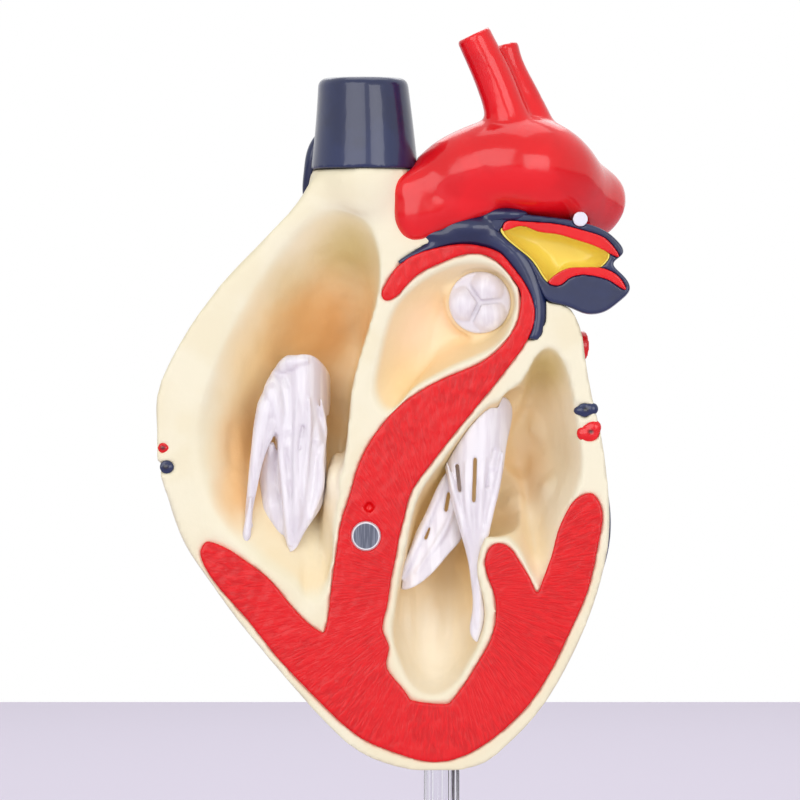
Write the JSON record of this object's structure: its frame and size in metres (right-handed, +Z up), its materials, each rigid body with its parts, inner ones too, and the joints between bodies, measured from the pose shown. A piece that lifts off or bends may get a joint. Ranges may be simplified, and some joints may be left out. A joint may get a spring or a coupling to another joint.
{
  "type": "dog heart model",
  "caption": "Life-size dog heart cut open along its length, with chambers, valves and great vessels, on a clear rod in a round base, with a magnet seat for its front half.",
  "frame": {"origin": "centre of the base's underside, on the axis of the support rod", "axes": "+Z up along the rod, -Y out of the cut face towards the viewer, +X to the viewer's right, the heart's left side"},
  "size_m": [0.1, 0.1, 0.1905],
  "materials": {
    "shell_paint": "satin cream paint with airbrushed shading",
    "muscle_paint": "gloss red paint over carved fibre relief",
    "artery_paint": "gloss red paint",
    "vein_paint": "gloss dark blue paint",
    "lining_paint": "gloss yellow paint",
    "ligament_paint": "gloss white paint",
    "valve_silicone": "soft milky white, slightly translucent",
    "magnet_nickel": "nickel plated, scratched",
    "rod_acrylic": "clear, polished",
    "base_plastic": "gloss white",
    "pad_foam": "matt foam rubber"
  },
  "bodies": {
    "stand": {"base": "base_plastic", "base_pad": "pad_foam"},
    "rod": {"support_rod": "rod_acrylic"},
    "heart": {"heart_shell": "shell_paint", "muscle_section": "muscle_paint", "septum_magnet": "magnet_nickel", "cranial_vena_cava": "vein_paint", "azygos_vein": "vein_paint", "caudal_vena_cava": "vein_paint", "aortic_arch": "artery_paint", "brachiocephalic_trunk": "artery_paint", "left_subclavian_artery": "artery_paint", "ligamentum_arteriosum": "ligament_paint", "pulmonary_trunk": "vein_paint", "right_pulmonary_artery": "vein_paint", "pulmonary_lining": "lining_paint", "pulmonary_rim": "muscle_paint", "pulmonary_veins": "artery_paint", "pulmonary_valve_cusps": "valve_silicone", "tricuspid_valve": "valve_silicone", "tricuspid_strand": "valve_silicone", "mitral_front_leaflet": "valve_silicone", "mitral_rear_leaflet": "valve_silicone", "right_coronary_artery": "artery_paint", "circumflex_artery": "artery_paint", "small_cardiac_vein": "vein_paint", "great_cardiac_vein": "vein_paint", "middle_cardiac_vein": "vein_paint", "left_marginal_vein": "vein_paint"}
  },
  "joints": [
    {"name": "rod_turn", "type": "hinge", "parent": "stand", "child": "rod", "pos_m": [0, 0, 0.003], "axis": [0, 0, 1], "continuous": true},
    {"name": "heart_lift", "type": "slide", "parent": "rod", "child": "heart", "axis": [0, 0, 1], "range_m": [0, 0.02]}
  ]
}
